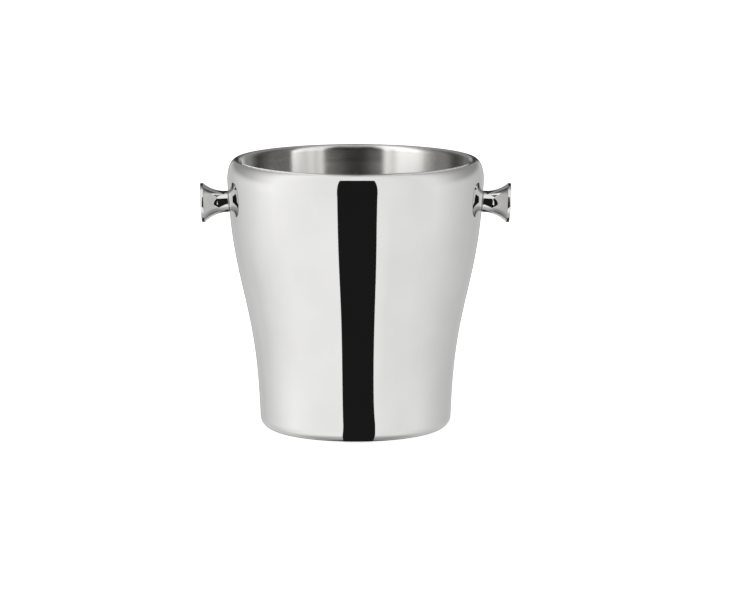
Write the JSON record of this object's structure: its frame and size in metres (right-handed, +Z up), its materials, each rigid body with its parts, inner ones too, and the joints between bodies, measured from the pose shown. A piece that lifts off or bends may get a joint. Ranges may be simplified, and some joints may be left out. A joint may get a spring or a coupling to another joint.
{
  "type": "ice bucket",
  "caption": "Double-walled steel ice bucket: an S-curved tulip wall, a wide rounded rim, a satin liner and a trumpet-shaped carrying knob on each side.",
  "frame": {"origin": "centre of the foot, on the surface the bucket stands on", "axes": "+Z up along the bucket's axis, +X out along the right knob, +Y towards the back"},
  "size_m": [0.243, 0.2002, 0.2114],
  "materials": {
    "mirror_steel": "mirror-polished stainless steel",
    "satin_steel": "stainless steel brushed round the axis",
    "plain_steel": "plain stainless steel, as the fasteners come",
    "gasket_rubber": "black moulded rubber"
  },
  "bodies": {
    "root": {"outer_shell": "mirror_steel", "inner_liner": "satin_steel", "base_plate": "satin_steel", "vent_plug": "plain_steel", "knob_left": "mirror_steel", "knob_gasket_left": "gasket_rubber", "knob_screw_left": "plain_steel", "spring_washer_left": "plain_steel", "backing_plate_left": "plain_steel", "knob_right": "mirror_steel", "knob_gasket_right": "gasket_rubber", "knob_screw_right": "plain_steel", "spring_washer_right": "plain_steel", "backing_plate_right": "plain_steel"}
  },
  "joints": []
}
